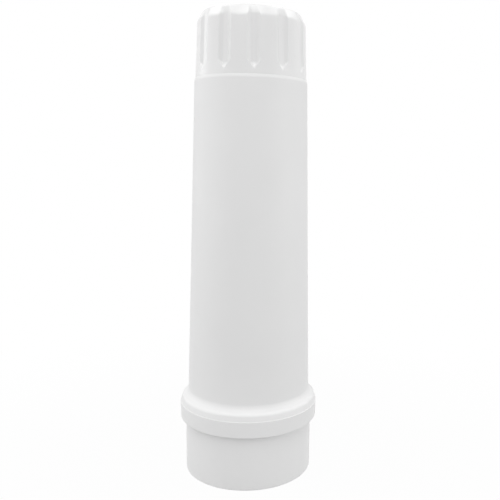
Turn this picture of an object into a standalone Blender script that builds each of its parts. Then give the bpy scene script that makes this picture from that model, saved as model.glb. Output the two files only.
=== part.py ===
# Water filter cartridge for a coffee machine's tank, standing on its base.
#
# Metres, +Z up. The origin is the centre of the base's lower rim, and -Y is the front.
# Water comes in under the skirt and through the slots in the base's floor. It rises through
# fleece, carbon, fleece, resin and fleece, passes the upper strainer into the cap, and goes
# down the central tube to the nozzle, which sits in the tank's outlet.
import math

import bmesh
import bpy
from mathutils import Matrix, Vector

# Fits: the gap that any two touching pieces keep, and the chamfer on edges that slide in
FIT_GAP = 0.0003
LEAD_IN = 0.0003

# Body tube, a tapered moulding whose rim eases in to the cap and whose foot spreads to a flange
TUBE_LENGTH = 0.09195
TUBE_FOOT_RADIUS = 0.01769
TUBE_RIM_RADIUS = 0.01576
TUBE_WALL = 0.0013
TUBE_RIM_EASE_HEIGHT = 0.00066
TUBE_RIM_EASE_ROUND = 0.0013
TUBE_CORNER = 0.0002
FLANGE_WIDTH = 0.00224
FLANGE_EDGE_HEIGHT = 0.00105
FLANGE_SLOPE_HEIGHT = 0.00175
FLANGE_ROOT_ROUND = 0.0026
FLANGE_SHOULDER_ROUND = 0.0025

# Base, with its skirt, collar, floor and outlet nozzle
COLLAR_STEP = 0.00007
COLLAR_HEIGHT = 0.00462
COLLAR_OVERHANG = 0.00163
COLLAR_ROUND = 0.00045
SKIRT_HEIGHT = 0.01573
SKIRT_WALL = 0.0020
SKIRT_RIM_ROUND = 0.0003
FLOOR_RECESS = 0.0115
FLOOR_THICKNESS = 0.0020
FLOOR_FILLET = 0.0006
REGISTER_HEIGHT = 0.0045
REGISTER_WALL = 0.0014
NOZZLE_RADIUS = 0.0058
NOZZLE_RECESS = 0.0030
NOZZLE_CHAMFER = 0.0006
NOZZLE_BORE_RADIUS = 0.0019
INLET_COUNT = 12
INLET_WIDTH = 0.0013
INLET_MARGIN = 0.0012

# Seal on the nozzle
SEAL_SECTION = 0.0018
SEAL_FROM_MOUTH = 0.0014

# Central tube, which stands in the base
RISER_RADIUS = 0.0040
RISER_WALL = 0.0010
RISER_SOCKET_DEPTH = 0.0045
RISER_STAND = 0.0130

# Filling
FLEECE_THICKNESS = 0.0025
CARBON_DEPTH = 0.0260

# Upper strainer, a slotted plate between a hub and a rim
STRAINER_PLATE = 0.0016
STRAINER_RIM_HEIGHT = 0.0040
STRAINER_RIM_WALL = 0.0013
STRAINER_HUB_WALL = 0.0011
STRAINER_SLOT_COUNT = 16
STRAINER_SLOT_WIDTH = 0.0009

# Strainer on the central tube's upper end
THIMBLE_WALL = 0.0010
THIMBLE_GRIP = 0.0035
THIMBLE_HEAD = 0.0045
THIMBLE_SLOT_COUNT = 6
THIMBLE_SLOT_WIDTH = 0.0008

# Cap, with twelve grip flutes
CAP_HEIGHT = 0.01745
CAP_STEP = 0.00018
CAP_TAPER = 0.0006
CAP_SHOULDER_HEIGHT = 0.0028
CAP_SHOULDER_INSET = 0.00148
CAP_SHOULDER_ROUND = 0.0020
CAP_TOP_ROUND = 0.0010
CAP_EDGE_ROUND = 0.00025
CAP_CROWN = 0.0018
SPIGOT_DEPTH = 0.0060
SPIGOT_WALL = 0.0012
FLUTE_COUNT = 12
FLUTE_TURN = math.radians(2.5)
FLUTE_DEPTH = 0.0007
FLUTE_MOUTH_WIDTH = 0.00386
FLUTE_FLOOR_WIDTH = 0.00156
FLUTE_BAND = 0.0016
FLUTE_RUNOUT = 0.0012

# Fineness of round shapes, and the largest share of a side that its two roundings may use
ROUND_STEPS = 48
SMALL_ROUND_STEPS = 24
SEAL_SECTION_STEPS = 8
ROUNDING_SHARE = 0.96

# How far a cutter passes the face that it opens
CUT_REACH = 0.0010
FLUTE_CUT_REACH = 0.0001

# Heights of the seats, from the base's rim upwards
COLLAR_TOP = SKIRT_HEIGHT + COLLAR_HEIGHT
FLOOR_TOP = FLOOR_RECESS + FLOOR_THICKNESS
REGISTER_TOP = COLLAR_TOP + REGISTER_HEIGHT
TUBE_SEAT = COLLAR_TOP + FIT_GAP
TAPER_FOOT = TUBE_SEAT + FLANGE_EDGE_HEIGHT + FLANGE_SLOPE_HEIGHT
TUBE_TOP = TUBE_SEAT + TUBE_LENGTH
CAP_SEAT = TUBE_TOP + FIT_GAP
STRAINER_SEAT = CAP_SEAT - SPIGOT_DEPTH - FIT_GAP - STRAINER_RIM_HEIGHT
LOWER_FLEECE_SEAT = FLOOR_TOP + FIT_GAP
CARBON_SEAT = LOWER_FLEECE_SEAT + FLEECE_THICKNESS + FIT_GAP
MIDDLE_FLEECE_SEAT = CARBON_SEAT + CARBON_DEPTH + FIT_GAP
RESIN_SEAT = MIDDLE_FLEECE_SEAT + FLEECE_THICKNESS + FIT_GAP
UPPER_FLEECE_SEAT = STRAINER_SEAT - FIT_GAP - FLEECE_THICKNESS
RISER_SEAT = FLOOR_TOP - RISER_SOCKET_DEPTH + FIT_GAP
RISER_TOP = STRAINER_SEAT + RISER_STAND

# Radii that follow from the fits
TAPER = (TUBE_RIM_RADIUS - TUBE_FOOT_RADIUS) / (TUBE_TOP - TAPER_FOOT)
FLANGE_RADIUS = TUBE_FOOT_RADIUS + FLANGE_WIDTH
COLLAR_RADIUS = FLANGE_RADIUS + COLLAR_STEP
SKIRT_RADIUS = COLLAR_RADIUS - COLLAR_OVERHANG
SKIRT_BORE = SKIRT_RADIUS - SKIRT_WALL
CAP_FOOT_RADIUS = TUBE_RIM_RADIUS - CAP_STEP
CAP_DRAFT = CAP_TAPER / CAP_HEIGHT
CAP_SHOULDER_RADIUS = CAP_FOOT_RADIUS - CAP_DRAFT * (CAP_HEIGHT - CAP_SHOULDER_HEIGHT)
CAP_TOP_RADIUS = CAP_SHOULDER_RADIUS - CAP_SHOULDER_INSET
RISER_HOLE = RISER_RADIUS + FIT_GAP


def tube_bore(height):
    """Radius of the body tube's inside at a height above the rim that the cartridge stands on."""
    return TUBE_FOOT_RADIUS - TUBE_WALL + TAPER * (height - TAPER_FOOT)


REGISTER_RADIUS = tube_bore(REGISTER_TOP) - FIT_GAP
REGISTER_BORE = REGISTER_RADIUS - REGISTER_WALL


def clear_scene():
    """Removes what the new file holds."""
    for item in list(bpy.data.objects):
        bpy.data.objects.remove(item, do_unlink=True)


def new_collection(name, parent):
    """Makes a collection inside another one."""
    collection = bpy.data.collections.new(name)
    parent.children.link(collection)
    return collection


def plastic(name, colour, roughness):
    """A moulded plastic, rubber or granular material in one colour."""
    material = bpy.data.materials.new(name)
    material.use_nodes = True
    shader = material.node_tree.nodes["Principled BSDF"]
    shader.inputs["Base Color"].default_value = (*colour, 1.0)
    shader.inputs["Roughness"].default_value = roughness
    shader.inputs["Metallic"].default_value = 0.0
    return material


def half_angle(before, corner, after):
    """Half of the angle between the two sides of a corner."""
    cosine = (before - corner).normalized().dot((after - corner).normalized())
    return math.acos(max(-1.0, min(1.0, cosine))) / 2


def rounded_corner(before, corner, after, tangent, pieces):
    """Points of the arc that rounds one corner, from one tangent's length before it to one after."""
    to_before = (before - corner).normalized()
    to_after = (after - corner).normalized()
    start = corner + to_before * tangent
    end = corner + to_after * tangent
    to_centre = tangent / math.cos(half_angle(before, corner, after))
    centre = corner + (to_before + to_after).normalized() * to_centre
    first = start - centre
    last = end - centre
    sweep = math.atan2(first.x * last.y - first.y * last.x, first.dot(last))
    return [centre + Matrix.Rotation(sweep * step / pieces, 2) @ first for step in range(pieces + 1)]


def outline(corners, closed):
    """Turns corners of (radius, height, rounding, pieces of arc) into the points of a profile.

    Roundings that don't fit on their side together are both made smaller.
    """
    places = [Vector(corner[:2]) for corner in corners]
    around = list(zip(places[-1:] + places[:-1], places, places[1:] + places[:1]))
    tangents = []
    for index, corner in enumerate(corners):
        at_end = not closed and index in (0, len(corners) - 1)
        sharp = len(corner) == 2 or at_end
        tangents.append(0.0 if sharp else corner[2] / math.tan(half_angle(*around[index])))
    fits = []
    for (_, place, after), tangent, next_tangent in zip(around, tangents, tangents[1:] + tangents[:1]):
        wanted = tangent + next_tangent
        room = ROUNDING_SHARE * (after - place).length
        fits.append(min(1.0, room / wanted) if wanted else 1.0)
    points = []
    for index, corner in enumerate(corners):
        if tangents[index]:
            tangent = tangents[index] * min(fits[index - 1], fits[index])
            points.extend(rounded_corner(*around[index], tangent, corner[3]))
        else:
            points.append(places[index])
    return points


def turned(name, corners, seat, material, closed=True, steps=ROUND_STEPS):
    """A turned piece: its half section, listed down the outside and back up the inside."""
    points = outline([(corner[0], corner[1] - seat, *corner[2:]) for corner in corners], closed)
    edges = [(index, index + 1) for index in range(len(points) - 1)]
    if closed:
        edges.append((len(points) - 1, 0))
    mesh = bpy.data.meshes.new(name)
    mesh.from_pydata([(point.x, 0.0, point.y) for point in points], edges, [])
    piece = bpy.data.objects.new(name, mesh)
    piece.location.z = seat
    mesh.materials.append(material)
    screw = piece.modifiers.new("turn", "SCREW")
    screw.axis = "Z"
    screw.angle = math.tau
    screw.steps = steps
    screw.render_steps = steps
    screw.use_merge_vertices = True
    screw.merge_threshold = 0.00001
    screw.use_smooth_shade = True
    return piece


def add_piece(piece, collection, axis):
    """Moves a piece to the cartridge's collection and on to its axis."""
    for holder in list(piece.users_collection):
        holder.objects.unlink(piece)
    collection.objects.link(piece)
    piece.parent = axis
    return piece


def cut_all_round(piece, mesh, count, first_angle, tilt, radius, height, cutters):
    """Cuts a piece with copies of one cutter, spaced evenly round the axis."""
    group = new_collection(piece.name + "_cutters", cutters)
    for index in range(count):
        angle = first_angle + math.tau * index / count
        cutter = bpy.data.objects.new(f"{mesh.name}_{index + 1:02d}", mesh)
        cutter.location = (radius * math.cos(angle), radius * math.sin(angle), height)
        cutter.rotation_euler = (0.0, tilt, angle)
        cutter.hide_render = True
        cutter.display_type = "WIRE"
        group.objects.link(cutter)
    cut = piece.modifiers.new("cut", "BOOLEAN")
    cut.operation = "DIFFERENCE"
    cut.solver = "EXACT"
    cut.operand_type = "COLLECTION"
    cut.collection = group


def box_cutter(name, length, width, height):
    """A box that starts at its origin and runs out along +X, centred in Y, standing on Z = 0."""
    mesh = bpy.data.meshes.new(name)
    shape = bmesh.new()
    bmesh.ops.create_cube(shape, size=1.0)
    bmesh.ops.translate(shape, verts=shape.verts, vec=(0.5, 0.0, 0.5))
    bmesh.ops.scale(shape, verts=shape.verts, vec=(length, width, height))
    shape.to_mesh(mesh)
    shape.free()
    return mesh


def flute_cutter():
    """The hollow of one grip flute: a flat floor, flared sides, and a foot that runs out to a point.

    Local +X points out of the cap, Z = 0 is the point where the foot meets the cap's surface.
    """
    top = CAP_HEIGHT - FLUTE_BAND + CUT_REACH
    flare = (FLUTE_MOUTH_WIDTH - FLUTE_FLOOR_WIDTH) / 2
    mouth = FLUTE_DEPTH + FLUTE_CUT_REACH
    floor_side = FLUTE_FLOOR_WIDTH / 2
    mouth_side = floor_side + flare * mouth / FLUTE_DEPTH
    sill = FLUTE_RUNOUT + flare
    drop = FLUTE_RUNOUT - FLUTE_RUNOUT * mouth / FLUTE_DEPTH
    mesh = bpy.data.meshes.new("flute_cutter")
    shape = bmesh.new()
    for side in (-1, 1):
        shape.verts.new((0.0, side * floor_side, FLUTE_RUNOUT))
        shape.verts.new((0.0, side * floor_side, top))
        shape.verts.new((mouth, side * mouth_side, sill))
        shape.verts.new((mouth, side * mouth_side, top))
    shape.verts.new((mouth, 0.0, drop))
    bmesh.ops.convex_hull(shape, input=shape.verts)
    shape.to_mesh(mesh)
    shape.free()
    return mesh


def make_base(cutters):
    """Skirt, collar, slotted floor, register ring for the tube and outlet nozzle in one moulding."""
    groove_foot = NOZZLE_RECESS + SEAL_FROM_MOUTH
    groove_top = groove_foot + SEAL_SECTION + 2 * FIT_GAP
    groove_radius = NOZZLE_RADIUS - SEAL_SECTION / 2 - FIT_GAP
    socket_foot = FLOOR_TOP - RISER_SOCKET_DEPTH
    section = [
        (REGISTER_RADIUS, REGISTER_TOP, LEAD_IN, 1),
        (REGISTER_RADIUS, COLLAR_TOP),
        (COLLAR_RADIUS, COLLAR_TOP, COLLAR_ROUND, 3),
        (COLLAR_RADIUS, SKIRT_HEIGHT, COLLAR_ROUND, 3),
        (SKIRT_RADIUS, SKIRT_HEIGHT),
        (SKIRT_RADIUS, 0.0, SKIRT_RIM_ROUND, 2),
        (SKIRT_BORE, 0.0, SKIRT_RIM_ROUND, 2),
        (SKIRT_BORE, FLOOR_RECESS, FLOOR_FILLET, 2),
        (NOZZLE_RADIUS, FLOOR_RECESS, FLOOR_FILLET, 2),
        (NOZZLE_RADIUS, groove_top),
        (groove_radius, groove_top),
        (groove_radius, groove_foot),
        (NOZZLE_RADIUS, groove_foot),
        (NOZZLE_RADIUS, NOZZLE_RECESS, NOZZLE_CHAMFER, 1),
        (NOZZLE_BORE_RADIUS, NOZZLE_RECESS),
        (NOZZLE_BORE_RADIUS, socket_foot),
        (RISER_HOLE, socket_foot),
        (RISER_HOLE, FLOOR_TOP),
        (REGISTER_BORE, FLOOR_TOP),
        (REGISTER_BORE, REGISTER_TOP),
    ]
    base = turned("base", section, 0.0, plastic("base_plastic", (0.80, 0.80, 0.80), 0.35))
    inlet_start = NOZZLE_RADIUS + INLET_MARGIN
    inlet_length = min(REGISTER_BORE, SKIRT_BORE) - INLET_MARGIN - inlet_start
    inlet = box_cutter("inlet_cutter", inlet_length, INLET_WIDTH, FLOOR_THICKNESS + 2 * CUT_REACH)
    cut_all_round(base, inlet, INLET_COUNT, 0.0, 0.0, inlet_start, FLOOR_RECESS - CUT_REACH, cutters)
    return base


def make_nozzle_seal():
    """Round rubber ring that seals the nozzle in the tank's outlet."""
    groove_radius = NOZZLE_RADIUS - SEAL_SECTION / 2 - FIT_GAP
    bpy.ops.mesh.primitive_torus_add(
        major_radius=groove_radius + FIT_GAP + SEAL_SECTION / 2,
        minor_radius=SEAL_SECTION / 2,
        major_segments=SMALL_ROUND_STEPS,
        minor_segments=SEAL_SECTION_STEPS,
        location=(0.0, 0.0, NOZZLE_RECESS + SEAL_FROM_MOUTH + FIT_GAP + SEAL_SECTION / 2),
    )
    seal = bpy.context.object
    seal.name = "nozzle_seal"
    seal.data.name = "nozzle_seal"
    seal.data.materials.append(plastic("seal_rubber", (0.03, 0.03, 0.03), 0.5))
    seal.data.shade_smooth()
    return seal


def make_body_tube():
    """Tapered tube: its rim eases in to the cap's foot, its own foot spreads in an S to the flange."""
    section = [
        (CAP_FOOT_RADIUS, TUBE_TOP),
        (TUBE_RIM_RADIUS, TUBE_TOP - TUBE_RIM_EASE_HEIGHT, TUBE_RIM_EASE_ROUND, 2),
        (TUBE_FOOT_RADIUS, TAPER_FOOT, FLANGE_ROOT_ROUND, 5),
        (FLANGE_RADIUS, TAPER_FOOT - FLANGE_SLOPE_HEIGHT, FLANGE_SHOULDER_ROUND, 5),
        (FLANGE_RADIUS, TUBE_SEAT, TUBE_CORNER, 1),
        (tube_bore(TUBE_SEAT), TUBE_SEAT, TUBE_CORNER, 1),
        (tube_bore(TUBE_TOP), TUBE_TOP, TUBE_CORNER, 1),
    ]
    return turned("body_tube", section, TUBE_SEAT, plastic("tube_plastic", (0.80, 0.80, 0.80), 0.38))


def make_central_tube():
    """Plain tube that brings the filtered water down to the nozzle."""
    bore = RISER_RADIUS - RISER_WALL
    section = [
        (RISER_RADIUS, RISER_TOP, LEAD_IN, 1),
        (RISER_RADIUS, RISER_SEAT, LEAD_IN, 1),
        (bore, RISER_SEAT),
        (bore, RISER_TOP),
    ]
    material = plastic("riser_plastic", (0.75, 0.76, 0.76), 0.4)
    return turned("central_tube", section, RISER_SEAT, material, steps=SMALL_ROUND_STEPS)


def make_disc(name, foot, top, foot_radius, top_radius, material):
    """A layer of the filling: a thick washer round the central tube."""
    section = [
        (top_radius, top),
        (foot_radius, foot),
        (RISER_HOLE, foot),
        (RISER_HOLE, top),
    ]
    return turned(name, section, foot, material)


def make_lower_fleece():
    """Pad on the base's floor that keeps the grains off the inlet slots."""
    radius = REGISTER_BORE - FIT_GAP
    top = LOWER_FLEECE_SEAT + FLEECE_THICKNESS
    material = plastic("lower_fleece_felt", (0.78, 0.78, 0.76), 0.9)
    return make_disc("lower_fleece", LOWER_FLEECE_SEAT, top, radius, radius, material)


def make_carbon_bed():
    """Activated carbon grains, which fill the register ring and the foot of the tube."""
    top = CARBON_SEAT + CARBON_DEPTH
    step = REGISTER_TOP + FIT_GAP
    in_ring = REGISTER_BORE - FIT_GAP
    section = [
        (tube_bore(top) - FIT_GAP, top),
        (tube_bore(step) - FIT_GAP, step),
        (in_ring, step),
        (in_ring, CARBON_SEAT),
        (RISER_HOLE, CARBON_SEAT),
        (RISER_HOLE, top),
    ]
    return turned("carbon_bed", section, CARBON_SEAT, plastic("carbon_grains", (0.02, 0.02, 0.02), 0.8))


def make_layer(name, foot, top, material):
    """A layer that fills the body tube's bore from one height to another."""
    return make_disc(name, foot, top, tube_bore(foot) - FIT_GAP, tube_bore(top) - FIT_GAP, material)


def make_middle_fleece():
    """Pad that keeps the carbon and the resin apart."""
    material = plastic("middle_fleece_felt", (0.78, 0.78, 0.76), 0.9)
    return make_layer("middle_fleece", MIDDLE_FLEECE_SEAT, MIDDLE_FLEECE_SEAT + FLEECE_THICKNESS, material)


def make_resin_bed():
    """Ion exchange resin beads, the main filling."""
    material = plastic("resin_beads", (0.62, 0.42, 0.16), 0.4)
    return make_layer("resin_bed", RESIN_SEAT, UPPER_FLEECE_SEAT - FIT_GAP, material)


def make_upper_fleece():
    """Pad that holds the beads back under the upper strainer."""
    material = plastic("upper_fleece_felt", (0.78, 0.78, 0.76), 0.9)
    return make_layer("upper_fleece", UPPER_FLEECE_SEAT, UPPER_FLEECE_SEAT + FLEECE_THICKNESS, material)


def make_upper_strainer(cutters):
    """Slotted plate that the cap's spigot holds down by its rim, with a hub round the central tube."""
    top = STRAINER_SEAT + STRAINER_RIM_HEIGHT
    plate_top = STRAINER_SEAT + STRAINER_PLATE
    rim_bore = tube_bore(top) - FIT_GAP - STRAINER_RIM_WALL
    hub_radius = RISER_HOLE + STRAINER_HUB_WALL
    section = [
        (tube_bore(top) - FIT_GAP, top),
        (tube_bore(STRAINER_SEAT) - FIT_GAP, STRAINER_SEAT),
        (RISER_HOLE, STRAINER_SEAT),
        (RISER_HOLE, top),
        (hub_radius, top),
        (hub_radius, plate_top),
        (rim_bore, plate_top),
        (rim_bore, top),
    ]
    material = plastic("strainer_plastic", (0.77, 0.77, 0.77), 0.4)
    strainer = turned("upper_strainer", section, STRAINER_SEAT, material)
    slot_start = hub_radius + STRAINER_HUB_WALL
    slot_length = rim_bore - STRAINER_RIM_WALL - slot_start
    slot = box_cutter("strainer_slot", slot_length, STRAINER_SLOT_WIDTH, STRAINER_PLATE + 2 * CUT_REACH)
    half_pitch = math.pi / STRAINER_SLOT_COUNT
    cut_all_round(
        strainer, slot, STRAINER_SLOT_COUNT, half_pitch, 0.0, slot_start, STRAINER_SEAT - CUT_REACH, cutters
    )
    return strainer


def make_tube_strainer(cutters):
    """Slotted thimble pushed over the central tube's upper end."""
    ledge = RISER_TOP + FIT_GAP
    foot = RISER_TOP - THIMBLE_GRIP
    top = ledge + THIMBLE_HEAD
    outside = RISER_HOLE + THIMBLE_WALL
    inside = RISER_RADIUS - RISER_WALL
    section = [
        (0.0, top),
        (outside, top, THIMBLE_WALL / 2, 2),
        (outside, foot),
        (RISER_HOLE, foot),
        (RISER_HOLE, ledge),
        (inside, ledge),
        (inside, top - THIMBLE_WALL),
        (0.0, top - THIMBLE_WALL),
    ]
    material = plastic("thimble_plastic", (0.77, 0.77, 0.77), 0.4)
    thimble = turned("tube_strainer", section, foot, material, closed=False, steps=SMALL_ROUND_STEPS)
    slot_height = THIMBLE_HEAD - 2 * THIMBLE_WALL
    slot = box_cutter("thimble_slot", outside, THIMBLE_SLOT_WIDTH, slot_height)
    half_pitch = math.pi / THIMBLE_SLOT_COUNT
    cut_all_round(
        thimble, slot, THIMBLE_SLOT_COUNT, half_pitch, 0.0, inside / 2, ledge + THIMBLE_WALL / 2, cutters
    )
    return thimble


def make_top_cap(cutters):
    """Cap with a spigot inside the tube, a sloped shoulder, and grip flutes that run out over it."""
    top = CAP_SEAT + CAP_HEIGHT
    spigot_radius = tube_bore(TUBE_TOP) - FIT_GAP
    spigot_bore = spigot_radius - SPIGOT_WALL
    spigot_end = CAP_SEAT - SPIGOT_DEPTH
    section = [
        (0.0, top),
        (CAP_TOP_RADIUS, top, CAP_TOP_ROUND, 3),
        (CAP_SHOULDER_RADIUS, top - CAP_SHOULDER_HEIGHT, CAP_SHOULDER_ROUND, 3),
        (CAP_FOOT_RADIUS, CAP_SEAT, CAP_EDGE_ROUND, 2),
        (spigot_radius, CAP_SEAT),
        (spigot_radius, spigot_end, LEAD_IN, 1),
        (spigot_bore, spigot_end),
        (spigot_bore, top - CAP_CROWN, CAP_CROWN / 2, 2),
        (0.0, top - CAP_CROWN),
    ]
    material = plastic("cap_plastic", (0.80, 0.80, 0.80), 0.3)
    cap = turned("top_cap", section, CAP_SEAT, material, closed=False)
    draft = math.atan(CAP_DRAFT)
    flute_radius = CAP_FOOT_RADIUS - FLUTE_DEPTH - FLUTE_BAND * CAP_DRAFT
    front = -math.pi / 2 + FLUTE_TURN
    cut_all_round(
        cap, flute_cutter(), FLUTE_COUNT, front, -draft, flute_radius, CAP_SEAT + FLUTE_BAND, cutters
    )
    return cap


clear_scene()
cartridge = new_collection("coffee_water_filter", bpy.context.scene.collection)
cutter_store = new_collection("cutters", bpy.context.scene.collection)
axis = bpy.data.objects.new("cartridge_axis", None)
cartridge.objects.link(axis)
for part in (
    make_base(cutter_store),
    make_nozzle_seal(),
    make_body_tube(),
    make_central_tube(),
    make_lower_fleece(),
    make_carbon_bed(),
    make_middle_fleece(),
    make_resin_bed(),
    make_upper_fleece(),
    make_upper_strainer(cutter_store),
    make_tube_strainer(cutter_store),
    make_top_cap(cutter_store),
):
    add_piece(part, cartridge, axis)
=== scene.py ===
import math

import bmesh
import bpy
from mathutils import Matrix, Vector, noise


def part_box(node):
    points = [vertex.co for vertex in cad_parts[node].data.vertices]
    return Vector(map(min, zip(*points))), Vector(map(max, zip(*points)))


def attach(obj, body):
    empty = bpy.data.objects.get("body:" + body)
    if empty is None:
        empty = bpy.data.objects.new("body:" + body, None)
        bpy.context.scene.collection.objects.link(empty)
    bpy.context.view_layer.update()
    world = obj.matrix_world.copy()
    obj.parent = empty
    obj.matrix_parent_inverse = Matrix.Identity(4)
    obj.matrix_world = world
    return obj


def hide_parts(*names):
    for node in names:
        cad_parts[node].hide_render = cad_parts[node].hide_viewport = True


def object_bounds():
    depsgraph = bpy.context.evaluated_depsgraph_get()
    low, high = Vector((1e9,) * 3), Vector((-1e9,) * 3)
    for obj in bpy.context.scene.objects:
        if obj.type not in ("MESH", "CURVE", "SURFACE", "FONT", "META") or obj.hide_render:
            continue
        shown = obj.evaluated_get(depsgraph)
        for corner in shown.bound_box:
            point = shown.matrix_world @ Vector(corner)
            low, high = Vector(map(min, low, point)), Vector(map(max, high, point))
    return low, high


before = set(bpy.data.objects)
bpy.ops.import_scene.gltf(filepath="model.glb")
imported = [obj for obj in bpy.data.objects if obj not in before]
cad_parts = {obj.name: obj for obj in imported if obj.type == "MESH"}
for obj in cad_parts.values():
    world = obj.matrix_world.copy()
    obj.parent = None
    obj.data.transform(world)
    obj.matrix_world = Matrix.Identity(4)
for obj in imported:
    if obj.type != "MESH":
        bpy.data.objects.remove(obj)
cad_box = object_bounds()

# Studio: the cartridge stands on a plain white table in a light tent, so that nothing but its own
# faint shadow shows round it. The camera sees the tent's wall and the table almost pure white, and
# what lights the plastic is the tent at a plain level with eight softboxes round it and above it.


class Wire:
    """One output socket in a node tree. Arithmetic on wires adds the Math nodes that do it."""

    def __init__(self, socket):
        self.socket = socket

    def maths(self, operation, *values):
        tree = self.socket.id_data
        return add_node(tree, "ShaderNodeMath", {"operation": operation}, dict(enumerate(values)))

    def __add__(self, other):
        return self.maths("ADD", self, other)

    def __radd__(self, other):
        return self.maths("ADD", other, self)

    def __sub__(self, other):
        return self.maths("SUBTRACT", self, other)

    def __rsub__(self, other):
        return self.maths("SUBTRACT", other, self)

    def __mul__(self, other):
        return self.maths("MULTIPLY", self, other)

    def __rmul__(self, other):
        return self.maths("MULTIPLY", other, self)

    def larger(self, other):
        return self.maths("MAXIMUM", self, other)


def add_node(tree, kind, settings=None, inputs=None, output=0):
    """Adds a node: its settings first, then the values or wires of its inputs. Returns one output."""
    node = tree.nodes.new(kind)
    for name, value in (settings or {}).items():
        if name == "stops":
            ramp = node.color_ramp
            while len(ramp.elements) < len(value):
                ramp.elements.new(0.5)
            for element, (place, colour) in zip(ramp.elements, value):
                element.position = place
                element.color = (*colour, 1.0)
        else:
            setattr(node, name, value)
    for name, value in (inputs or {}).items():
        if isinstance(value, Wire):
            tree.links.new(value.socket, node.inputs[name])
        else:
            node.inputs[name].default_value = value
    return Wire(node.outputs[output]) if node.outputs else None


def empty_tree(owner):
    """Switches a material's or a world's nodes on and clears them."""
    owner.use_nodes = True
    owner.node_tree.nodes.clear()
    return owner.node_tree


def seen_directly(tree):
    """1 for camera, mirror and see-through rays, 0 for the rays that carry light."""
    rays = [
        add_node(tree, "ShaderNodeLightPath", output=kind)
        for kind in ("Is Camera Ray", "Is Glossy Ray", "Is Transmission Ray")
    ]
    return rays[0].larger(rays[1]).larger(rays[2])


white = (1.0, 1.0, 1.0, 1.0)
white_level = 1.0
tent_light = 0.605
tent = bpy.data.worlds.new("tent")
bpy.context.scene.world = tent
tree = empty_tree(tent)
lighting = add_node(tree, "ShaderNodeBackground", None, {"Color": white, "Strength": tent_light})
backdrop = add_node(tree, "ShaderNodeBackground", None, {"Color": white, "Strength": white_level})
seen = add_node(tree, "ShaderNodeMixShader", None, {0: seen_directly(tree), 1: lighting, 2: backdrop})
add_node(tree, "ShaderNodeOutputWorld", None, {"Surface": seen})

# Close to the cartridge the camera sees a small share of the table's own paint, and its shadow with
# it. Further out the table is as white as the tent.
table_half_width = 3.0
table_paint = (0.48, 0.48, 0.48, 1.0)
least_whiteness = 0.975
shadow_reach = (0.03, 0.16)
table_shape = bmesh.new()
bmesh.ops.create_grid(table_shape, x_segments=1, y_segments=1, size=table_half_width)
table_mesh = bpy.data.meshes.new("table")
table_shape.to_mesh(table_mesh)
table_shape.free()
table = bpy.data.objects.new("table", table_mesh)
bpy.context.scene.collection.objects.link(table)
table_white = bpy.data.materials.new("table_white")
tree = empty_tree(table_white)
paint = add_node(tree, "ShaderNodeBsdfDiffuse", None, {"Color": table_paint})
glow = add_node(tree, "ShaderNodeEmission", None, {"Color": white, "Strength": white_level})
place = add_node(tree, "ShaderNodeTexCoord", output="Object")
distance = add_node(tree, "ShaderNodeVectorMath", {"operation": "LENGTH"}, {0: place}, output=1)
whiteness = add_node(
    tree,
    "ShaderNodeMapRange",
    {"interpolation_type": "SMOOTHSTEP"},
    {
        "Value": distance,
        "From Min": shadow_reach[0],
        "From Max": shadow_reach[1],
        "To Min": least_whiteness,
        "To Max": 1.0,
    },
)
glow_share = seen_directly(tree) * whiteness
surface = add_node(tree, "ShaderNodeMixShader", None, {0: glow_share, 1: paint, 2: glow})
add_node(tree, "ShaderNodeOutputMaterial", None, {"Surface": surface})
table_mesh.materials.append(table_white)


def softbox(name, place, target, width, height, power):
    """A rectangular lamp that faces a point. The camera doesn't see it."""
    lamp = bpy.data.lights.new(name, "AREA")
    lamp.shape = "RECTANGLE"
    lamp.size = width
    lamp.size_y = height
    lamp.energy = power
    box = bpy.data.objects.new(name, lamp)
    box.location = place
    box.rotation_euler = (Vector(target) - Vector(place)).to_track_quat("-Z", "Y").to_euler()
    box.visible_camera = False
    bpy.context.scene.collection.objects.link(box)


inside_collar = (0.0, 0.0, 0.02)
middle = (0.0, 0.0, cad_box[1].z / 2)
top_middle = (0.0, 0.0, cad_box[1].z)
softboxes = (
    ("key_softbox", (-0.06, -0.30, 0.42), middle, 0.30, 0.30, 0.52),
    ("overhead_softbox", (0.0, -0.11, 0.40), top_middle, 0.16, 0.16, 0.11),
    ("left_softbox", (-0.22, 0.06, 0.46), top_middle, 0.24, 0.24, 0.24),
    ("right_softbox", (0.22, 0.06, 0.46), top_middle, 0.24, 0.24, 0.245),
    ("left_back_softbox", (-0.42, 0.18, 0.16), middle, 0.20, 0.30, 0.21),
    ("right_back_softbox", (0.42, 0.18, 0.16), middle, 0.20, 0.30, 0.08),
    ("low_left_softbox", (-0.29, -0.11, 0.10), inside_collar, 0.20, 0.10, 0.12),
    ("low_right_softbox", (0.29, -0.11, 0.10), inside_collar, 0.20, 0.10, 0.175),
)
for name, place, target, width, height, power in softboxes:
    softbox(name, place, target, width, height, power)

# Camera: a close view from a little above the middle of the tube, turned a few degrees down and to
# the right. The photograph is cropped off its lens axis, which a small shift repeats.
eye_distance = 0.18647
eye_height = 0.09049
look_down = math.radians(7.402)
look_right = math.radians(5.209)
lean = math.radians(-1.1207)
picture_width = 500
focal_in_pixels = 645.236
sideways_shift = -0.11669
upright_shift = -0.01077
nearest_seen = 0.01

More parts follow.
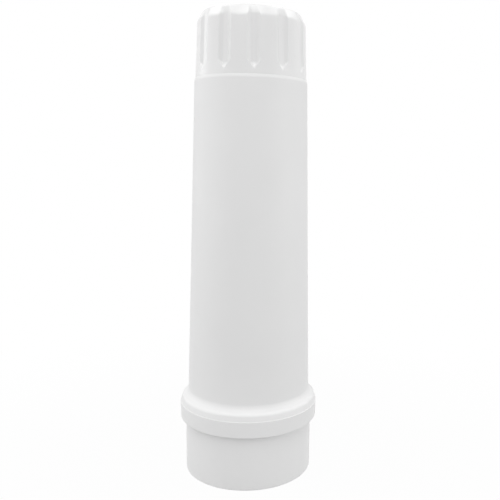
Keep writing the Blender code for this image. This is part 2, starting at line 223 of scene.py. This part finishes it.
forward = Vector(
    (
        math.sin(look_right) * math.cos(look_down),
        math.cos(look_right) * math.cos(look_down),
        -math.sin(look_down),
    )
)
level_right = Vector((math.cos(look_right), -math.sin(look_right), 0.0))
level_down = forward.cross(level_right)
right = level_right * math.cos(lean) + level_down * math.sin(lean)
down = level_down * math.cos(lean) - level_right * math.sin(lean)
lens = bpy.data.cameras.new("camera")
lens.sensor_width = 36.0
lens.lens = focal_in_pixels / picture_width * lens.sensor_width
lens.shift_x = sideways_shift
lens.shift_y = upright_shift
lens.clip_start = nearest_seen
camera = bpy.data.objects.new("camera", lens)
camera.location = (0.0, -eye_distance, eye_height)
camera.rotation_mode = "QUATERNION"
camera.rotation_quaternion = Matrix((right, -down, -forward)).transposed().to_quaternion()
bpy.context.scene.collection.objects.link(camera)
bpy.context.scene.camera = camera
bpy.context.scene.view_settings.view_transform = "Standard"

# Base: one white polypropylene moulding with a plain skirt, the wider collar that the tube's
# flange is welded to, a recessed floor with inlet slots, a ring that stands up inside the tube, and
# the outlet nozzle.
base_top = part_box("base")[1].z
collar_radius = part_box("base")[1].x
tube_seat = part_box("body_tube")[0].z
fit_gap = 0.0003
collar_top = tube_seat - fit_gap
collar_draft = 0.00012
collar_foot_radius = collar_radius - collar_draft
collar_overhang = 0.00163
skirt_height = 0.01573
skirt_radius = collar_radius - collar_overhang
skirt_wall = 0.0020
skirt_bore = skirt_radius - skirt_wall
floor_recess = 0.0115
floor_thickness = 0.0020
floor_top = floor_recess + floor_thickness
register_radius = 0.01606
register_wall = 0.0014
register_bore = register_radius - register_wall
nozzle_radius = 0.0058
nozzle_mouth = 0.0030
nozzle_bore = 0.0019
riser_radius = 0.0040
riser_hole = riser_radius + fit_gap
riser_socket_depth = 0.0045
riser_socket_foot = floor_top - riser_socket_depth
seal_groove_depth = 0.0012
seal_groove_radius = nozzle_radius - seal_groove_depth
seal_groove_foot = nozzle_mouth + 0.0014
seal_groove_top = seal_groove_foot + 0.0024
slot_count = 12
slot_half_width = 0.00065
slot_margin = 0.0012
slot_start = nozzle_radius + slot_margin
slot_end = register_bore - slot_margin
collar_edge_round = 0.00016
collar_foot_round = 0.0002
rim_round = 0.0003
floor_fillet = 0.0006
bore_round = 0.0002
sharpest_smooth_edge = math.radians(32)
centre_line = (0.0, 0.0, 0.0)
upright = (0.0, 0.0, 1.0)
same_place = 1e-6


def spin_section(section, steps, closed=True):
    """Spins a half section, listed as (radius, height), about the cartridge's axis."""
    shape = bmesh.new()
    corners = [shape.verts.new((radius, 0.0, height)) for radius, height in section]
    pairs = list(zip(corners, corners[1:] + corners[:1] if closed else corners[1:]))
    edges = [shape.edges.new(pair) for pair in pairs]
    bmesh.ops.spin(
        shape,
        geom=corners + edges,
        cent=centre_line,
        axis=upright,
        angle=math.tau,
        steps=steps,
        use_merge=True,
    )
    bmesh.ops.remove_doubles(shape, verts=shape.verts, dist=same_place)
    bmesh.ops.recalc_face_normals(shape, faces=shape.faces)
    return shape


def round_ring(shape, radius, height, width, segments):
    """Rounds the edge that runs all round at one radius and height."""
    near = 2e-5

    def on_ring(vertex):
        off_radius = abs(math.hypot(vertex.co.x, vertex.co.y) - radius)
        return off_radius < near and abs(vertex.co.z - height) < near

    ring = [edge for edge in shape.edges if on_ring(edge.verts[0]) and on_ring(edge.verts[1])]
    bmesh.ops.bevel(
        shape,
        geom=ring,
        offset=width,
        offset_type="OFFSET",
        segments=segments,
        profile=0.5,
        affect="EDGES",
        material=-1,
    )


def finish_piece(name, shape, material, slot, *nodes):
    """Makes an object of a shape, shades it smooth between its edges, and hides the parts that it stands
    for.
    """
    mesh = bpy.data.meshes.new(name)
    shape.to_mesh(mesh)
    shape.free()
    mesh.shade_smooth()
    mesh.set_sharp_from_angle(angle=sharpest_smooth_edge)
    mesh.materials.append(material)
    piece = bpy.data.objects.new(name, mesh)
    bpy.context.scene.collection.objects.link(piece)
    even = piece.modifiers.new("even_shading", "WEIGHTED_NORMAL")
    even.keep_sharp = True
    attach(piece, "root")
    if nodes:
        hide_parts(*nodes)
    return piece


def white_plastic(name, colour, roughness, shine, gloss, drag):
    """Moulded white polypropylene: faint clouds in the colour, a fine skin and faint draw marks.

    The shine is the bare plastic's own, the gloss a polished skin over it, and the drag how much the
    draw marks show beside the skin.
    """
    darkest = (*(0.975 * level for level in colour), 1.0)
    lightest = (*(1.02 * level for level in colour), 1.0)
    material = bpy.data.materials.new(name)
    tree = empty_tree(material)
    place = add_node(tree, "ShaderNodeTexCoord", output="Object")
    clouds = add_node(tree, "ShaderNodeTexNoise", None, {"Vector": place, "Scale": 70.0, "Detail": 3.0})
    skin = add_node(tree, "ShaderNodeTexNoise", None, {"Vector": place, "Scale": 2400.0, "Detail": 2.0})
    stretched = add_node(tree, "ShaderNodeMapping", None, {"Vector": place, "Scale": (900.0, 900.0, 9.0)})
    draw = add_node(tree, "ShaderNodeTexNoise", None, {"Vector": stretched, "Scale": 1.0, "Detail": 2.0})
    tint = add_node(
        tree,
        "ShaderNodeMix",
        {"data_type": "RGBA"},
        {"Factor": clouds, 6: darkest, 7: lightest},
        output=2,
    )
    relief = {"Strength": 0.25, "Distance": 0.00003, "Height": skin * 0.6 + draw * drag}
    bump = add_node(tree, "ShaderNodeBump", None, relief)
    shader = add_node(
        tree,
        "ShaderNodeBsdfPrincipled",
        None,
        {
            "Base Color": tint,
            "Roughness": roughness + (skin - 0.5) * 0.10 + (clouds - 0.5) * 0.08,
            "Metallic": 0.0,
            "IOR": 1.49,
            "Specular IOR Level": shine,
            "Coat Weight": gloss,
            "Coat Roughness": 0.25,
            "Normal": bump,
        },
    )
    add_node(tree, "ShaderNodeOutputMaterial", None, {"Surface": shader})
    return material


def cut_slots(shape, steps):
    """Opens the inlet slots through the floor, between the rings of corners at their two ends.

    A slot takes out the four steps of the floor about its middle line. The corners at its sides are
    then moved so that the sides are parallel, and walls join the two faces of the floor.
    """
    step = math.tau / steps
    side = 2 * step
    pitch = math.tau / slot_count
    floor_levels = (floor_recess, floor_top)

    def slot_place(point):
        """How far a point lies round from its nearest slot's middle line, and that line's angle."""
        angle = math.atan2(point.y, point.x)
        centre = pitch * round(angle / pitch)
        return angle - centre, centre

    def on_slot_ring(vertex):
        radius = math.hypot(vertex.co.x, vertex.co.y)
        off_level = min(abs(vertex.co.z - height) for height in floor_levels)
        off_ring = min(abs(radius - slot_start), abs(radius - slot_end))
        return off_level < same_place and off_ring < same_place

    rings = [vertex for vertex in shape.verts if on_slot_ring(vertex)]
    on_rings = set(rings)
    openings = [
        face
        for face in shape.faces
        if on_rings.issuperset(face.verts)
        and abs(slot_place(face.calc_center_median())[0]) < side
    ]
    bmesh.ops.delete(shape, geom=openings, context="FACES")
    for vertex in rings:
        across, centre = slot_place(vertex.co)
        if abs(abs(across) - side) < step / 2:
            radius = math.hypot(vertex.co.x, vertex.co.y)
            turn = math.asin(math.copysign(slot_half_width, across) / radius)
            vertex.co.x = radius * math.cos(centre + turn)
            vertex.co.y = radius * math.sin(centre + turn)
    rims = {}
    for edge in shape.edges:
        if edge.is_boundary:
            centre = slot_place((edge.verts[0].co + edge.verts[1].co) / 2)[1]
            rims.setdefault(round(centre / pitch) % slot_count, []).append(edge)
    for edges in rims.values():
        bmesh.ops.bridge_loops(shape, edges=edges)
    bmesh.ops.recalc_face_normals(shape, faces=shape.faces)


base_steps = 192
base_shape = spin_section(
    [
        (register_radius, base_top),
        (register_radius, collar_top),
        (collar_radius, collar_top),
        (collar_foot_radius, skirt_height),
        (skirt_radius, skirt_height),
        (skirt_radius, 0.0),
        (skirt_bore, 0.0),
        (skirt_bore, floor_recess),
        (slot_end, floor_recess),
        (slot_start, floor_recess),
        (nozzle_radius, floor_recess),
        (nozzle_radius, seal_groove_top),
        (seal_groove_radius, seal_groove_top),
        (seal_groove_radius, seal_groove_foot),
        (nozzle_radius, seal_groove_foot),
        (nozzle_radius, nozzle_mouth),
        (nozzle_bore, nozzle_mouth),
        (nozzle_bore, riser_socket_foot),
        (riser_hole, riser_socket_foot),
        (riser_hole, floor_top),
        (slot_start, floor_top),
        (slot_end, floor_top),
        (register_bore, floor_top),
        (register_bore, base_top),
    ],
    base_steps,
)
cut_slots(base_shape, base_steps)
round_ring(base_shape, collar_radius, collar_top, collar_edge_round, 5)
round_ring(base_shape, collar_foot_radius, skirt_height, collar_foot_round, 6)
round_ring(base_shape, skirt_radius, 0.0, rim_round, 4)
round_ring(base_shape, skirt_bore, 0.0, rim_round, 4)
round_ring(base_shape, skirt_bore, floor_recess, floor_fillet, 4)
round_ring(base_shape, nozzle_radius, floor_recess, floor_fillet, 4)
round_ring(base_shape, nozzle_radius, nozzle_mouth, floor_fillet, 4)
round_ring(base_shape, nozzle_bore, nozzle_mouth, bore_round, 2)
# The base's white is set lighter than the tube's, though both are the same plastic: painted light that
# makes up for the weaker light reaching the skirt near the table.
base_plastic = white_plastic("base_plastic", (0.88, 0.88, 0.88), 0.42, 0.3, 0.0, 0.3)
finish_piece("base_moulding", base_shape, base_plastic, "shell_white", "base")

# Screw thread: a coarse ridge moulded inside the skirt with the base, nearly two turns of it, that
# runs out into the wall at both ends. It draws the nozzle down on to the tank's outlet.
thread_pitch = 0.0030
thread_turns = 1.75
thread_steps = 126
thread_start = 0.0024
ridge_height = 0.0008
ridge_foot_half = 0.0007
ridge_crest_half = 0.0003
ridge_root = skirt_bore + 0.0002
run_out_turn = math.radians(14)


def run_out(shape, edges, turn):
    """Adds one more step at an end of the thread, sunk into the skirt's wall."""
    grown = bmesh.ops.extrude_edge_only(shape, edges=edges)["geom"]
    corners = [item for item in grown if isinstance(item, bmesh.types.BMVert)]
    end_edges = [item for item in grown if isinstance(item, bmesh.types.BMEdge)]
    about_axis = Matrix.Rotation(turn, 3, "Z")
    bmesh.ops.rotate(shape, verts=corners, cent=centre_line, matrix=about_axis)
    bmesh.ops.translate(shape, verts=corners, vec=(0.0, 0.0, thread_pitch * turn / math.tau))
    for corner in corners:
        corner.co.xy *= (ridge_root + ridge_height / 2) / corner.co.xy.length
    bmesh.ops.contextual_create(shape, geom=end_edges)


thread_shape = bmesh.new()
ridge = [
    (ridge_root, -ridge_foot_half),
    (skirt_bore - ridge_height, -ridge_crest_half),
    (skirt_bore - ridge_height, ridge_crest_half),
    (ridge_root, ridge_foot_half),
]
corners = [thread_shape.verts.new((radius, 0.0, thread_start + height)) for radius, height in ridge]
first_edges = [thread_shape.edges.new(pair) for pair in zip(corners, corners[1:] + corners[:1])]
step_rise = thread_pitch * thread_turns / thread_steps
wound = bmesh.ops.spin(
    thread_shape,
    geom=corners + first_edges,
    cent=centre_line,
    axis=upright,
    dvec=(0.0, 0.0, step_rise),
    angle=math.tau * thread_turns,
    steps=thread_steps,
    use_merge=False,
)
last_edges = [item for item in wound["geom_last"] if isinstance(item, bmesh.types.BMEdge)]
run_out(thread_shape, last_edges, run_out_turn)
run_out(thread_shape, first_edges, -run_out_turn)
bmesh.ops.recalc_face_normals(thread_shape, faces=thread_shape.faces)
# The thread shares the base's lighter white, and with it that painted light.
finish_piece("screw_thread", thread_shape, base_plastic, "shell_white")

# Nozzle seal: a round black rubber ring in the nozzle's groove, with the fine flash line that its
# mould leaves round the outside.
seal_section = 0.0018
seal_height = seal_groove_foot + fit_gap + seal_section / 2
seal_ring_radius = seal_groove_radius + fit_gap + seal_section / 2
flash_line = 0.00004
seal_steps = 96


def black_rubber():
    """Matt black rubber with a dusty bloom."""
    material = bpy.data.materials.new("seal_rubber")
    tree = empty_tree(material)
    place = add_node(tree, "ShaderNodeTexCoord", output="Object")
    bloom = add_node(tree, "ShaderNodeTexNoise", None, {"Vector": place, "Scale": 700.0, "Detail": 4.0})
    grain = add_node(tree, "ShaderNodeTexNoise", None, {"Vector": place, "Scale": 5000.0, "Detail": 2.0})
    ramp = add_node(
        tree,
        "ShaderNodeValToRGB",
        {"stops": [(0.35, (0.018, 0.018, 0.019)), (0.75, (0.045, 0.045, 0.046))]},
        {"Fac": bloom},
    )
    relief = {"Strength": 0.3, "Distance": 0.00002, "Height": grain}
    bump = add_node(tree, "ShaderNodeBump", None, relief)
    shader = add_node(
        tree,
        "ShaderNodeBsdfPrincipled",
        None,
        {"Base Color": ramp, "Roughness": 0.5 + bloom * 0.2, "Metallic": 0.0, "Normal": bump},
    )
    add_node(tree, "ShaderNodeOutputMaterial", None, {"Surface": shader})
    return material


seal_shape = bmesh.new()
bmesh.ops.create_circle(seal_shape, segments=24, radius=seal_section / 2)
bmesh.ops.rotate(
    seal_shape,
    verts=seal_shape.verts,
    cent=centre_line,
    matrix=Matrix.Rotation(math.pi / 2, 3, "X"),
)
outermost = max(seal_shape.verts, key=lambda vertex: vertex.co.x)
outermost.co.x += flash_line
bmesh.ops.translate(seal_shape, verts=seal_shape.verts, vec=(seal_ring_radius, 0.0, seal_height))
bmesh.ops.spin(
    seal_shape,
    geom=seal_shape.verts[:] + seal_shape.edges[:],
    cent=centre_line,
    axis=upright,
    angle=math.tau,
    steps=seal_steps,
    use_merge=True,
)
bmesh.ops.remove_doubles(seal_shape, verts=seal_shape.verts, dist=same_place)
bmesh.ops.recalc_face_normals(seal_shape, faces=seal_shape.faces)
finish_piece("rubber_ring", seal_shape, black_rubber(), "seal_rubber", "nozzle_seal")

# Body tube: a long white polypropylene moulding with a little over one degree of draft. Its rim is
# eased in to the cap, and its foot flares in an S-shaped flange that is welded to the base's collar.
tube_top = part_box("body_tube")[1].z
flange_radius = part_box("body_tube")[1].x
tube_foot_radius = 0.01769
tube_rim_radius = 0.01576
tube_wall = 0.0013
taper_foot = tube_seat + 0.0029
flare_radius = tube_foot_radius + 0.00105
flare_height = tube_seat + 0.00175
flange_shoulder = tube_seat + 0.00135
flange_shoulder_radius = flange_radius - 0.0005
flange_edge_radius = collar_radius - 0.00014
rim_ease_height = 0.0008
rim_ease = 0.00026
closed_joint = 0.00001
flange_foot = collar_top + closed_joint
taper = (tube_rim_radius - tube_foot_radius) / (tube_top - taper_foot)
tube_steps = 192


def tube_bore(height):
    """Radius of the tube's inside at a height."""
    return tube_foot_radius - tube_wall + taper * (height - taper_foot)


tube_shape = spin_section(
    [
        (tube_rim_radius - rim_ease, tube_top),
        (tube_rim_radius, tube_top - rim_ease_height),
        (tube_foot_radius, taper_foot),
        (flare_radius, flare_height),
        (flange_shoulder_radius, flange_shoulder),
        (flange_edge_radius, flange_foot),
        (tube_bore(tube_seat), flange_foot),
        (tube_bore(tube_top), tube_top),
    ],
    tube_steps,
)
round_ring(tube_shape, tube_rim_radius, tube_top - rim_ease_height, 0.0002, 6)
round_ring(tube_shape, tube_foot_radius, taper_foot, 0.0008, 8)
round_ring(tube_shape, flare_radius, flare_height, 0.0003, 6)
round_ring(tube_shape, flange_shoulder_radius, flange_shoulder, 0.0004, 12)
round_ring(tube_shape, flange_edge_radius, flange_foot, 0.00004, 3)
tube_plastic = white_plastic("tube_plastic", (0.85, 0.85, 0.85), 0.45, 0.25, 0.0, 0.5)
finish_piece("tube_moulding", tube_shape, tube_plastic, "shell_white", "body_tube")

# Top cap: a white polypropylene moulding with a spigot inside the tube's rim, a little glossier than
# the tube. Twelve grip flutes run up out through its sloped shoulder and end below in a pointed,
# sloped foot over a plain band. The gate of its mould has left a shallow mark in the top.
cap_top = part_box("top_cap")[1].z
cap_seat = tube_top + closed_joint
cap_band_foot = tube_top + fit_gap
cap_foot_radius = tube_rim_radius - rim_ease
cap_taper = 0.0006
cap_draft = cap_taper / (cap_top - cap_band_foot)
shoulder_height = 0.0028
shoulder_inset = 0.00148
cap_shoulder = cap_top - shoulder_height
cap_shoulder_radius = cap_foot_radius - cap_draft * (cap_shoulder - cap_band_foot)
cap_top_radius = cap_shoulder_radius - shoulder_inset
cap_top_round = 0.0006
shoulder_round = 0.00046
spigot_radius = tube_bore(tube_top) - fit_gap
spigot_wall = 0.0012
spigot_bore = spigot_radius - spigot_wall
spigot_length = 0.0060
spigot_end = cap_seat - spigot_length
cap_ceiling_thickness = 0.0018
cap_ceiling = cap_top - cap_ceiling_thickness
gate_radius = 0.0011
gate_depth = 0.00015
flute_count = 12
flute_turn = math.radians(2.5)
flute_depth = 0.0007
flute_flare = 0.00115
flute_floor_half = 0.00078
flute_tip = cap_band_foot + 0.0009
flute_runout = 0.0015
flute_edge = 0.00016
cap_steps = 720
foot_row = 0.00015
foot_row_count = 24
wall_row = 0.0022
wall_row_count = 5


def blend_larger(first, second, width):
    """The larger of two heights, with the crease between them rounded over a width."""
    overlap = max(width - abs(first - second), 0.0) / width
    return max(first, second) + overlap * overlap * width / 4


def flute_surface(across, height):
    """How far a flute's surface stands out from its floor, at a place across it and above its tip.

    It is the highest of the floor, the flared side, the sloped foot and the wing that joins those two.
    """
    side = (across - flute_floor_half) * flute_depth / flute_flare
    foot = flute_depth * (flute_runout - height) / flute_runout
    steep = flute_depth / (flute_flare * (flute_runout - flute_floor_half))
    wing = (
        flute_depth
        - steep * (flute_floor_half + flute_flare) * height
        + steep * (flute_runout + flute_flare) * across
    )
    surface = blend_larger(0.0, side, flute_edge)
    surface = blend_larger(surface, foot, flute_edge)
    return blend_larger(surface, wing, flute_edge)


cap_shape = spin_section(
    [
        (0.0, cap_top - gate_depth),
        (gate_radius, cap_top - gate_depth),
        (gate_radius + gate_depth, cap_top),
        (cap_top_radius, cap_top),
        (cap_shoulder_radius, cap_shoulder),
        (cap_foot_radius, cap_seat),
        (spigot_radius, cap_seat),
        (spigot_radius, spigot_end),
        (spigot_bore, spigot_end),
        (spigot_bore, cap_ceiling),
        (0.0, cap_ceiling),
    ],
    cap_steps,
    closed=False,
)
round_ring(cap_shape, cap_top_radius, cap_top, cap_top_round, 8)
round_ring(cap_shape, cap_shoulder_radius, cap_shoulder, shoulder_round, 8)

# The cap's outside gets close rows of corners at the flutes' feet and wide ones above them. Then each
# corner moves in to the flute that it lies in.
foot_rows = [flute_tip - 2 * foot_row + foot_row * row for row in range(foot_row_count)]
wall_rows = [foot_rows[-1] + wall_row * row for row in range(1, wall_row_count + 1)]
outside_radius = spigot_radius + 0.0008
for height in foot_rows + wall_rows:
    outside = [
        face
        for face in cap_shape.faces
        if math.hypot(*face.calc_center_median().xy) > outside_radius
    ]
    around = {item for face in outside for item in (*face.edges, *face.verts)}
    bmesh.ops.bisect_plane(
        cap_shape,
        geom=outside + list(around),
        dist=1e-7,
        plane_co=(0.0, 0.0, height),
        plane_no=upright,
    )
flute_pitch = math.tau / flute_count
first_flute = -math.pi / 2 + flute_turn
flutes_above = cap_seat + 0.0005
for vertex in cap_shape.verts:
    radius = math.hypot(vertex.co.x, vertex.co.y)
    if radius < spigot_bore or vertex.co.z < flutes_above:
        continue
    angle = math.atan2(vertex.co.y, vertex.co.x)
    centre = first_flute + flute_pitch * round((angle - first_flute) / flute_pitch)
    across = radius * math.sin(angle - centre)
    floor_radius = cap_foot_radius - flute_depth - cap_draft * (vertex.co.z - cap_band_foot)
    out = radius * math.cos(angle - centre) - floor_radius
    bound = flute_surface(abs(across), vertex.co.z - flute_tip)
    shift = -blend_larger(-out, -bound, flute_edge) - out
    vertex.co.x += shift * math.cos(centre)
    vertex.co.y += shift * math.sin(centre)
cap_plastic = white_plastic("cap_plastic", (0.83, 0.83, 0.83), 0.30, 0.5, 0.5, 0.3)
finish_piece("cap_moulding", cap_shape, cap_plastic, "cap_white", "top_cap")

# Sealed inside: the central tube and the two strainers, moulded in natural white polypropylene. They
# are never seen in use, so they keep the matt finish of an unpolished mould.
inner_plastic = white_plastic("inner_plastic", (0.74, 0.75, 0.74), 0.5, 0.4, 0.0, 0.3)
for name in ("central_tube", "upper_strainer", "tube_strainer"):
    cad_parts[name].material_slots[0].material = inner_plastic

# Fleeces: three washers of white needled polyester felt that lie under, between and over the two
# fillings. They are cut from sheet, so their edges are soft and their faces a little uneven.
fibre_lift = 0.00012
fibre_waves = 900.0
pad_steps = 96
pad_rings = 12
pad_edge_round = 0.0005


def needled_felt():
    """White felt: short crossing fibres, thin places that look greyer, and no gloss."""
    material = bpy.data.materials.new("needled_felt")
    tree = empty_tree(material)
    place = add_node(tree, "ShaderNodeTexCoord", output="Object")
    layers = []
    for turn in (0.4, 1.6, 2.7):
        lay = {"Vector": place, "Rotation": (0.0, 0.0, turn), "Scale": (5200.0, 700.0, 2600.0)}
        laid = add_node(tree, "ShaderNodeMapping", None, lay)
        fibres = {"Vector": laid, "Scale": 1.0, "Detail": 2.0}
        layers.append(add_node(tree, "ShaderNodeTexNoise", None, fibres))
    tangle = layers[0].larger(layers[1]).larger(layers[2])
    patches = {"Vector": place, "Scale": 320.0, "Detail": 3.0}
    thin_places = add_node(tree, "ShaderNodeTexNoise", None, patches)
    colour = add_node(
        tree,
        "ShaderNodeValToRGB",
        {"stops": [(0.35, (0.60, 0.60, 0.57)), (0.75, (0.86, 0.86, 0.83))]},
        {"Fac": tangle * 0.7 + thin_places * 0.3},
    )
    relief = {"Strength": 0.6, "Distance": 0.0001, "Height": tangle}
    bump = add_node(tree, "ShaderNodeBump", None, relief)
    shader = add_node(
        tree,
        "ShaderNodeBsdfPrincipled",
        None,
        {"Base Color": colour, "Roughness": 0.9, "Sheen Weight": 0.3, "Normal": bump},
    )
    add_node(tree, "ShaderNodeOutputMaterial", None, {"Surface": shader})
    return material


felt = needled_felt()
for name in ("lower_fleece", "middle_fleece", "upper_fleece"):
    low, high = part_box(name)
    foot_radius = min(high.x, tube_bore(low.z) - fit_gap)
    top_radius = min(high.x, tube_bore(high.z) - fit_gap)
    shares = [ring / pad_rings for ring in range(pad_rings + 1)]
    top_line = [(top_radius + (riser_hole - top_radius) * share, high.z) for share in shares]
    foot_line = [(riser_hole + (foot_radius - riser_hole) * share, low.z) for share in shares]
    pad = spin_section(foot_line + top_line, pad_steps)
    for radius, height in (top_line[0], top_line[-1], foot_line[0], foot_line[-1]):
        round_ring(pad, radius, height, pad_edge_round, 3)
    for vertex in pad.verts:
        dent = fibre_lift * (1.0 + noise.noise(vertex.co * fibre_waves)) / 2
        vertex.co.z += dent if vertex.co.z < (low.z + high.z) / 2 else -dent
    piece = finish_piece(name + "_felt", pad, felt, "fleece", name)

# Fillings: loose grains of activated carbon below and moist amber resin beads above, poured in and
# held by the fleeces. Each solid carries its grains as a pattern of cells, lit as if each were round
# by a bump, and painted shade darkens each cell towards its edge, where the gaps between grains are.
carbon_grain = 0.0009
carbon_greys = [
    (0.1, (0.010, 0.010, 0.011)),
    (0.6, (0.028, 0.028, 0.030)),
    (0.95, (0.060, 0.060, 0.062)),
]
resin_bead = 0.0007
resin_ambers = [
    (0.1, (0.40, 0.20, 0.05)),
    (0.6, (0.62, 0.38, 0.12)),
    (0.95, (0.74, 0.52, 0.22)),
]


def packed_grains(name, size, stops, roughness, gloss, height):
    """Grains packed side by side: a colour for each cell, painted shade darkening it towards its edge,
    and a bump that rounds it.
    """
    material = bpy.data.materials.new(name)
    tree = empty_tree(material)
    place = add_node(tree, "ShaderNodeTexCoord", output="Object")
    cells = {"Vector": place, "Scale": 1.0 / size, "Randomness": 0.8}
    gap = add_node(tree, "ShaderNodeTexVoronoi", {"feature": "F1"}, cells)
    pick = add_node(tree, "ShaderNodeTexVoronoi", {"feature": "F1"}, cells, output=1)
    chance = add_node(tree, "ShaderNodeSeparateColor", None, {"Color": pick})
    pits = {"Vector": place, "Scale": 5.0 / size, "Detail": 3.0}
    grit = add_node(tree, "ShaderNodeTexNoise", None, pits)
    mixed = chance * 0.8 + grit * 0.2
    colour = add_node(tree, "ShaderNodeValToRGB", {"stops": stops}, {"Fac": mixed})
    # Painted shade: each grain's colour is multiplied darker towards the edge of its cell, where the gaps
    # between grains lie.
    painted_gap_shade = add_node(
        tree,
        "ShaderNodeMix",
        {"data_type": "RGBA", "blend_type": "MULTIPLY"},
        {"Factor": gap * 0.9, 6: colour, 7: (0.25, 0.25, 0.25, 1.0)},
        output=2,
    )
    relief = {"Strength": 0.8, "Distance": height, "Height": grit * 0.15 - gap}
    bump = add_node(tree, "ShaderNodeBump", None, relief)
    shader = add_node(
        tree,
        "ShaderNodeBsdfPrincipled",
        None,
        {
            "Base Color": painted_gap_shade,
            "Roughness": roughness + grit * 0.1,
            "Coat Weight": gloss,
            "Coat Roughness": 0.2,
            "Normal": bump,
        },
    )
    add_node(tree, "ShaderNodeOutputMaterial", None, {"Surface": shader})
    return material


grains = packed_grains("carbon_grains", carbon_grain, carbon_greys, 0.62, 0.0, 0.0003)
beads = packed_grains("resin_beads", resin_bead, resin_ambers, 0.22, 0.5, 0.00025)
for name, slot, material in (("carbon_bed", "carbon", grains), ("resin_bed", "resin", beads)):
    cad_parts[name].material_slots[0].material = material
